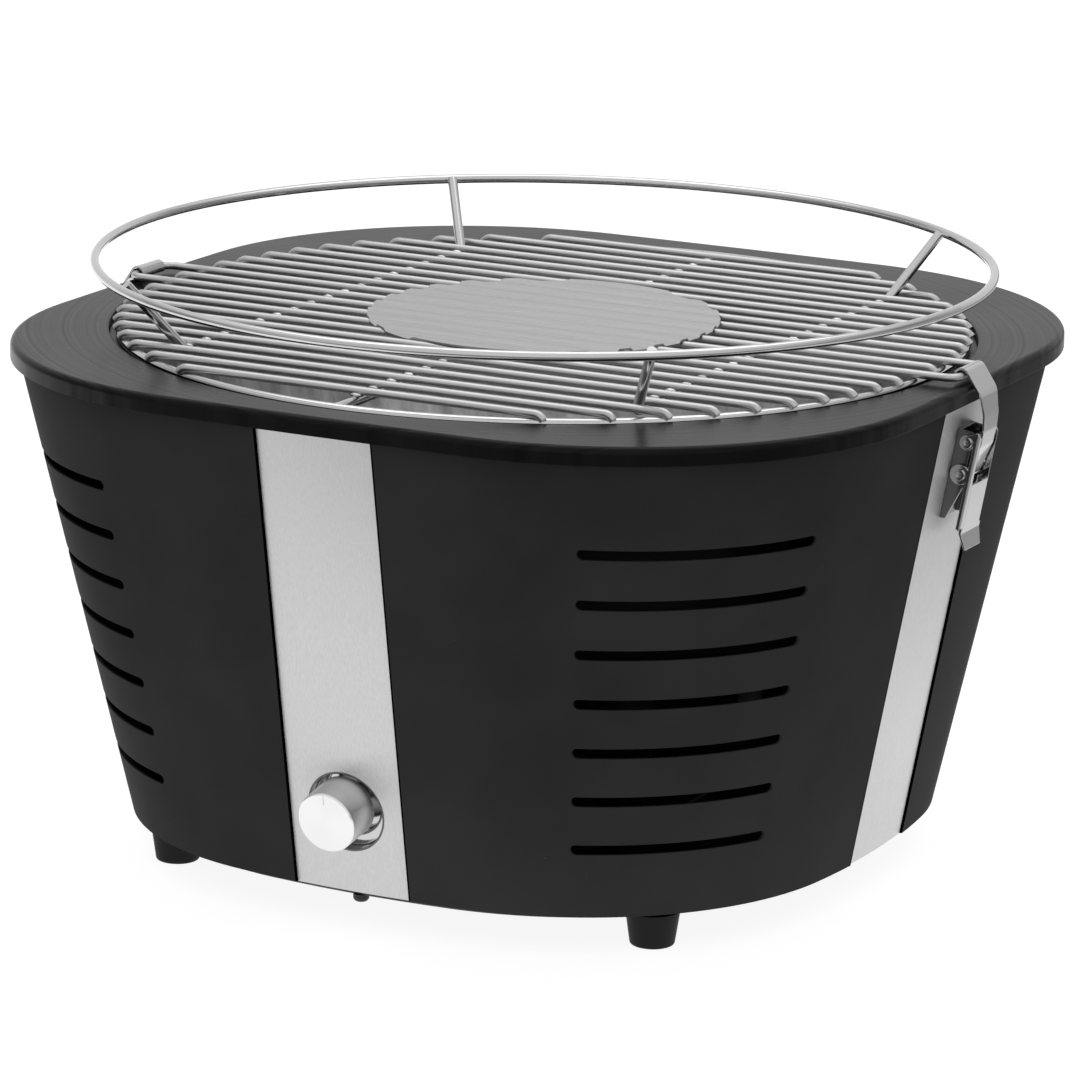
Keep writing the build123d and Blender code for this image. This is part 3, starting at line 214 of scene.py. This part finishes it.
def brushed(name, base, rough, scale, across=(1, 0, 0), depth=0.000004, sheen=0.6):
    """Brushed stainless steel; scale is small along its grain and across is the way over the grain."""
    steel = Shader(name)
    grain = steel.noise(scale, detail=6, rough=0.65)
    cloud = steel.noise(25, detail=3)
    streak = steel.mix(steel.between(grain, -0.6, 1.6), grey(base * 0.86), grey(min(1.0, base * 1.13)))
    steel.set(
        Base_Color=steel.mix(steel.between(cloud, 0.0, 0.35), streak, grey(base * 0.94)),
        Metallic=1.0,
        Roughness=steel.between(grain, rough - 0.05, rough + 0.08),
        Anisotropic=sheen,
        Tangent=steel.straight(across),
        Normal=steel.bump(grain, depth, steel.soft_edge(0.0002)),
    )
    return steel.material


def chrome(name, base, rough, depth=0.000002, edge=0.0002):
    """Bright plated metal with the slight waviness of the wire or sheet under it."""
    plate = Shader(name)
    wave = plate.noise(160, detail=2)
    smear = plate.noise(40, detail=5, rough=0.6)
    plate.set(
        Base_Color=plate.ramp(smear, [(0.3, base * 0.94), (0.7, base)]),
        Metallic=1.0,
        Roughness=plate.between(smear, rough * 0.7, rough * 1.5),
        Normal=plate.bump(wave, depth, plate.soft_edge(edge)),
    )
    return plate.material


def bowl_sheet():
    """Stainless bowl: streaky and heat-dulled inside; painted shade, near black, on its outside (dull, not
    metal) and on a band at its top.
    """
    steel = Shader("bowl_sheet")
    streak = steel.noise((70, 70, 9), detail=5, rough=0.7)
    geometry = steel.tree.nodes.new("ShaderNodeNewGeometry")
    from_axis = steel.stretched((1, 1, 0), geometry.outputs["Position"])
    outward = steel.dot(geometry.outputs["True Normal"], from_axis)
    # outward faces get painted shade, near black and not metal
    outside = steel.math("GREATER_THAN", outward, OUTWARD_LEAST)
    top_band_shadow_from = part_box("inner_bowl")[1].z - LEDGE_DEPTH
    # a band at the top of the bowl gets painted shadow
    top_band_shadow = steel.math("GREATER_THAN", steel.dot(steel.place, (0, 0, 1)), top_band_shadow_from)
    bare = steel.ramp(streak, [(0.35, 0.36), (0.65, 0.74)])
    steel.set(
        Base_Color=steel.mix(steel.math("MAXIMUM", outside, top_band_shadow), bare, grey(BOWL_PAINTED_SHADE)),
        Metallic=steel.math("SUBTRACT", 1.0, outside),
        Roughness=steel.between(streak, 0.30, 0.46),
        Specular_IOR_Level=0.1,
        Normal=steel.bump(streak, 0.00008),
    )
    return steel.material


def moulded_plastic(name, base, rough, grain=1400, shine=0.4):
    """Moulded plastic or rubber with a fine eroded texture."""
    moulding = Shader(name)
    texture = moulding.noise(grain, detail=2)
    cloud = moulding.noise(30, detail=3)
    moulding.set(
        Base_Color=moulding.ramp(cloud, [(0.3, base * 0.8), (0.7, base * 1.25)]),
        Roughness=moulding.between(texture, rough - 0.06, rough + 0.08),
        Specular_IOR_Level=shine,
        Normal=moulding.bump(texture, 0.00002, moulding.soft_edge(0.0004)),
    )
    return moulding.material


def axis_reach(metal, piece):
    """Distance from the axis of a piece that leans with the front strip."""
    low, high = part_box(piece)
    middle = (low + high) / 2
    lean = math.radians(STRIP_LEAN)
    offset = metal.tree.nodes.new("ShaderNodeVectorMath")
    offset.operation = "SUBTRACT"
    metal.link(metal.place, offset.inputs[0])
    offset.inputs[1].default_value = middle
    across = metal.dot(offset.outputs["Vector"], (1, 0, 0))
    up = metal.dot(offset.outputs["Vector"], (0, -math.sin(lean), math.cos(lean)))
    return metal.math("SQRT", metal.math("ADD", metal.math("POWER", across, 2), metal.math("POWER", up, 2)))


def dish_metal(base, rough):
    """Pressed bright dish with painted shade: dark rings where its two steep walls are."""
    metal = Shader("dish_metal")
    mouth, well = axis_reach(metal, "knob_dish"), axis_reach(metal, "knob")
    mouth_wall = metal.math("GREATER_THAN", mouth, MOUTH_WALL)
    well_wall = metal.math("COMPARE", well, WELL_WALL)
    well_wall.node.inputs[2].default_value = WALL_SPREAD
    smear = metal.noise(60, detail=4)
    bright = metal.ramp(smear, [(0.3, base * 0.9), (0.7, base)])
    metal.set(
        # the steep walls get painted shade
        Base_Color=metal.mix(metal.math("MAXIMUM", mouth_wall, well_wall), bright, grey(WALL_PAINTED_SHADE)),
        Metallic=1.0,
        Roughness=metal.between(smear, rough * 0.7, rough * 1.5),
        Normal=metal.bump(metal.noise(160, detail=2), 0.000006, metal.soft_edge(0.0008)),
    )
    return metal.material


def spun(name, base, rough, piece):
    """Turned aluminium: fine rings round the axis of a piece that leans with the front strip."""
    metal = Shader(name)
    lathe = metal.noise(1.0, detail=3, place=ring_place(metal, axis_reach(metal, piece), KNOB_RINGS))
    metal.set(
        Base_Color=metal.ramp(lathe, [(0.25, base * 0.93), (0.75, base)]),
        Metallic=1.0,
        Roughness=metal.between(lathe, rough - 0.05, rough + 0.06),
        Anisotropic=0.75,
        Anisotropic_Rotation=0.25,
        Tangent=metal.around("Y"),
        Normal=metal.bump(lathe, 0.000004, metal.soft_edge(0.0003)),
    )
    return metal.material


def ring_place(metal, reach, fineness):
    """Coordinates that change only with the distance from an axis."""
    node = metal.tree.nodes.new("ShaderNodeCombineXYZ")
    metal.feed(node.inputs["X"], metal.math("MULTIPLY", reach, fineness))
    return node.outputs["Vector"]


def paint(material, *names):
    """Gives CAD nodes or made pieces one finish in every slot."""
    for name in names:
        piece = nodes[name] if isinstance(name, str) else name
        if not piece.data.materials:
            piece.data.materials.append(material)
        for index in range(len(piece.data.materials)):
            piece.data.materials[index] = material


PANELS = [name for name in nodes if name.startswith("corner_panel")]
LATCH_PARTS = [name for name in nodes if "_latch_" in name and not name.endswith("_base")]
LATCH_BASES = [name for name in nodes if name.endswith("_latch_base")]
FASTENERS = ["rim_nuts", "foot_screws", "foot_nuts", "tray_screws", "control_nut"]
DUCT_PARTS = ["fan_duct", "fan_impeller", "battery_box", "speed_control"]
STRIP_GRAIN = (2300, 2300, 12)
STRIP_LEAN = 10.3  # degrees that the strips and the knob's face look down by
SEAM = 0.0250  # how far from the middle of a strip the painted shadow in the fold beside it reaches
# grey of the painted shadow in the fold beside a strip
SEAM_PAINTED_SHADOW = 0.001
LEDGE_DEPTH = 0.003  # the band at the top of the bowl painted dark as shadow
OUTWARD_LEAST = 0.02  # a bowl face counts as outside when it looks away from the axis by more
# grey of the painted shade on the bowl's outside and top band
BOWL_PAINTED_SHADE = 0.012
# The dish's steep walls, which get dark rings of painted shade: where its mouth's wall starts, and the
# middle and half width of its well's wall.
MOUTH_WALL = 0.0153
WELL_WALL = 0.0134
WALL_SPREAD = 0.0006
WALL_PAINTED_SHADE = 0.13
# How fine turning lines are, per metre from the axis.
KNOB_RINGS = 9000.0
RIM_RINGS = 650.0
paint(powder_coat("panel_coat", 0.0262, 0.55, 0.014, 700, SEAM), *PANELS)
paint(powder_coat("rim_coat", 0.0055, 0.27, 0.096, 500, lines=0.045), "top_rim")
paint(brushed("front_steel", 0.61, 0.40, STRIP_GRAIN, sheen=0.85), "front_strip", "back_strip")
paint(brushed("side_steel", 0.61, 0.40, STRIP_GRAIN, (0, 1, 0), sheen=0.85), "left_strip", "right_strip")
paint(chrome("latch_sheet", 0.64, 0.13, 0.000006, edge=0.00035), *LATCH_PARTS)
paint(chrome("latch_base_sheet", 0.20, 0.15, 0.000006, edge=0.0005), *LATCH_BASES)
paint(chrome("rivet_steel", 0.85, 0.20), "latch_rivets")
paint(chrome("bar_steel", 0.58, 0.36), "grate_bars")
paint(chrome("wire_chrome", 0.64, 0.10), "grate_ring", "guard_ring", "cross_wires")
paint(brushed("plate_sheet", 0.46, 0.42, (30, 2600, 2600), (0, 1, 0)), "centre_plate")
paint(bowl_sheet(), "inner_bowl")
paint(brushed("basket_sheet", 0.22, 0.42, (900, 900, 60)), "starter_tray", "charcoal_basket")
paint(spun("knob_aluminium", 0.88, 0.30, "knob"), "knob")
paint(dish_metal(0.60, 0.08), "knob_dish")
paint(chrome("fastener_zinc", 0.30, 0.32), *FASTENERS)
paint(chrome("shaft_steel", 0.62, 0.2), "control_shaft", "motor_shaft", "fan_motor")
paint(moulded_plastic("tray_plastic", 0.012, 0.5), "base_tray", "front_stud", "battery_cover")
paint(moulded_plastic("duct_plastic", 0.014, 0.5), *DUCT_PARTS)
paint(moulded_plastic("foot_rubber", 0.0035, 0.6, 900, 0.2), "feet")
paint(moulded_plastic("cell_sleeve", 0.08, 0.25, 300), "batteries")
paint(chrome("contact_brass", 0.7, 0.2), "battery_contacts")
paint(moulded_plastic("cable_sheath", 0.015, 0.45), "cables")


# ---- weld beads where the bars cross the wires under them ----
BAR_PITCH = 0.01355
BARS_EACH_SIDE = 11
SIDE_WELD_LIMIT = 8  # bars past this one miss the straight part of the side wires
BEAD_SIZE = (0.0025, 0.0012, 0.0010)
BEAD_OFFSET = 0.0017
BEAD_LIFT = 0.0002
SIDE_WIRE_PLACE = 0.0965
BEAD_ROWS = 6
BEAD_SIDES = 10
LOBES = 0.16  # how far a bead's three lobes swell, as a share of its size
RIPPLE = 0.08


def bead_shape(middle, lump):
    """Points and faces of one lumpy drop of weld round a point."""
    points, faces = [], []
    for row in range(1, BEAD_ROWS):
        tilt = math.pi * row / BEAD_ROWS
        for side in range(BEAD_SIDES):
            turn = 2 * math.pi * side / BEAD_SIDES
            lobes = LOBES * math.sin(3 * turn + lump) * math.sin(tilt)
            swell = 1 + lobes + RIPPLE * math.sin(5 * tilt + 2 * lump)
            way = (math.cos(tilt), math.sin(tilt) * math.cos(turn), math.sin(tilt) * math.sin(turn))
            points.append(tuple(m + swell * size * w for m, size, w in zip(middle, BEAD_SIZE, way)))
    last = (BEAD_ROWS - 2) * BEAD_SIDES
    points.append((middle[0] + BEAD_SIZE[0], middle[1], middle[2]))
    points.append((middle[0] - BEAD_SIZE[0], middle[1], middle[2]))
    for side in range(BEAD_SIDES):
        after = (side + 1) % BEAD_SIDES
        faces.append((side, len(points) - 2, after))
        faces.append((last + side, last + after, len(points) - 1))
        for here in range(0, last, BEAD_SIDES):
            there = here + BEAD_SIDES
            faces.append((here + side, here + after, there + after, there + side))
    return points, faces


def weld_beads():
    """A drop of weld on each side of every bar, on top of each cross wire."""
    wire_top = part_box("grate_ring")[1].z
    points, faces = [], []
    for step in range(-BARS_EACH_SIDE, BARS_EACH_SIDE + 1):
        for column in (-1, 0, 1):
            if column and abs(step) > SIDE_WELD_LIMIT:
                continue
            for flank in (-1, 1):
                place = step * BAR_PITCH + flank * BEAD_OFFSET
                middle = (column * SIDE_WIRE_PLACE, place, wire_top + BEAD_LIFT)
                drop, skin = bead_shape(middle, 1.7 * step + 2.3 * column + flank)
                start = len(points)
                points += drop
                faces += [tuple(start + corner for corner in face) for face in skin]
    mesh = bpy.data.meshes.new("weld_beads")
    mesh.from_pydata(points, [], faces)
    mesh.validate()
    for face in mesh.polygons:
        face.use_smooth = True
    beads = bpy.data.objects.new("weld_beads", mesh)
    bpy.context.scene.collection.objects.link(beads)
    paint(chrome("weld_metal", 0.56, 0.12, 0.00001), beads)
    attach(beads, "grill")


weld_beads()


# ---- floor, light and camera ----
def floor_sheet():
    """A seamless pale floor, lit evenly to the eye, whose glow fades away from the grill in reflections."""
    half = FLOOR_WIDTH / 2
    corners = [(-half, -half, 0), (half, -half, 0), (half, half, 0), (-half, half, 0)]
    mesh = bpy.data.meshes.new("floor")
    mesh.from_pydata(corners, [], [(0, 1, 2, 3)])
    floor = bpy.data.objects.new("floor", mesh)
    bpy.context.scene.collection.objects.link(floor)
    look = Shader("floor_paper")
    azimuth = math.radians(AZIMUTH)
    nearer = look.dot(look.place, (math.sin(azimuth), -math.cos(azimuth), 0))
    right = look.dot(look.place, (math.cos(azimuth), math.sin(azimuth), 0))
    fade_near = look.span(nearer, *FADE_NEAR)
    fade_right = look.span(right, *FADE_RIGHT)
    faded = look.math("MULTIPLY", look.math("MULTIPLY", fade_near, fade_right), FLOOR_GLOW)
    seen = look.tree.nodes.new("ShaderNodeLightPath").outputs["Is Camera Ray"]
    plain = look.math("MULTIPLY", seen, FLOOR_SEEN)
    hidden = look.math("MULTIPLY", look.math("SUBTRACT", 1.0, seen), faded)
    look.set(
        Base_Color=look.ramp(look.noise(6), [(0.3, 0.20), (0.7, 0.205)]),
        Roughness=0.8,
        Specular_IOR_Level=0.1,
        Emission_Color=grey(1.0),
        Emission_Strength=look.math("ADD", plain, hidden),
    )
    mesh.materials.append(look.material)


def studio_sky():
    """Bright behind the grill and on the camera's side, dim at the flanks, and plain white to the camera."""
    world = bpy.data.worlds.new("studio")
    bpy.context.scene.world = world
    world.use_nodes = True
    tree = world.node_tree
    tree.nodes.clear()
    new, link = tree.nodes.new, tree.links.new
    out = new("ShaderNodeOutputWorld")
    place = new("ShaderNodeTexCoord").outputs["Generated"]
    away = new("ShaderNodeVectorMath")
    away.operation = "DOT_PRODUCT"
    link(place, away.inputs[0])
    azimuth = math.radians(AZIMUTH)
    away.inputs[1].default_value = (-math.sin(azimuth), math.cos(azimuth), 0)
    ways = new("ShaderNodeMapRange")
    ways.inputs["From Min"].default_value = -1.0
    link(away.outputs["Value"], ways.inputs["Value"])
    level = new("ShaderNodeValToRGB")
    link(ways.outputs["Result"], level.inputs["Fac"])
    while len(level.color_ramp.elements) < len(SKY):
        level.color_ramp.elements.new(0.5)
    for element, (position, value) in zip(level.color_ramp.elements, SKY):
        element.position = position
        element.color = grey(value)
    height = new("ShaderNodeSeparateXYZ")
    link(place, height.inputs["Vector"])
    raised = new("ShaderNodeMapRange")
    raised.inputs["From Min"].default_value, raised.inputs["From Max"].default_value = SKY_RISE
    raised.inputs["To Max"].default_value = SKY_TOP
    link(height.outputs["Z"], raised.inputs["Value"])
    brightest = new("ShaderNodeMix")
    brightest.data_type = "RGBA"
    brightest.blend_type = "LIGHTEN"
    brightest.inputs["Factor"].default_value = 1.0
    link(level.outputs["Color"], brightest.inputs[6])
    link(raised.outputs["Result"], brightest.inputs[7])
    room, plain, mixed = new("ShaderNodeBackground"), new("ShaderNodeBackground"), new("ShaderNodeMixShader")
    link(brightest.outputs[2], room.inputs["Color"])
    plain.inputs["Color"].default_value = grey(1.0)
    link(new("ShaderNodeLightPath").outputs["Is Camera Ray"], mixed.inputs["Fac"])
    link(room.outputs["Background"], mixed.inputs[1])
    link(plain.outputs["Background"], mixed.inputs[2])
    link(mixed.outputs["Shader"], out.inputs["Surface"])


def soft_box(name, place, aim, width, height, power):
    """A large soft light at a place, turned towards a point."""
    data = bpy.data.lights.new(name, "AREA")
    data.shape = "RECTANGLE"
    data.size = width
    data.size_y = height
    data.energy = power
    lamp = bpy.data.objects.new(name, data)
    bpy.context.scene.collection.objects.link(lamp)
    lamp.location = place
    lamp.rotation_mode = "QUATERNION"
    lamp.rotation_quaternion = (Vector(aim) - Vector(place)).to_track_quat("-Z", "Y")


# Sky brightness from the camera's side (0) through the flanks (0.5) to straight behind the grill (1).
SKY = [(0.0, 0.85), (0.4, 0.50), (0.6, 0.26), (0.72, 0.35), (0.88, 0.76), (1.0, 0.82)]
SKY_RISE = (0.15, 0.65)  # sines of the heights between which the sky brightens everywhere
SKY_TOP = 0.84
FLOOR_WIDTH = 60.0
FLOOR_GLOW = 0.96
FLOOR_SEEN = 0.90
# Distances from the grill's middle, and the share of the glow left there.
FADE_NEAR = (0.33, 0.50, 1.0, 0.08)
FADE_RIGHT = (0.26, 0.70, 1.0, 0.22)


def studio():
    floor_sheet()
    studio_sky()
    soft_box("overhead", (-0.2, 0.5, 2.2), (0, 0, 0.2), 2.4, 1.6, 13)


def camera():
    azimuth, elevation, roll = (math.radians(a) for a in (AZIMUTH, ELEVATION, ROLL))
    level = Vector((math.sin(azimuth), -math.cos(azimuth), 0))
    back = level * math.cos(elevation) + Vector((0, 0, math.sin(elevation)))
    right = Vector((math.cos(azimuth), math.sin(azimuth), 0))
    up = back.cross(right)
    tilted_right = right * math.cos(roll) + up * math.sin(roll)
    tilted_up = up * math.cos(roll) - right * math.sin(roll)
    data = bpy.data.cameras.new("camera")
    data.lens = LENS
    data.sensor_width = SENSOR
    data.clip_end = FARTHEST
    eye = bpy.data.objects.new("camera", data)
    bpy.context.scene.collection.objects.link(eye)
    turn = Matrix((tilted_right, tilted_up, back)).transposed()
    eye.matrix_world = Matrix.Translation(Vector((0, 0, AIM_HEIGHT)) + back * DISTANCE) @ turn.to_4x4()
    bpy.context.scene.camera = eye


studio()
camera()
bpy.context.scene.view_settings.view_transform = "Standard"
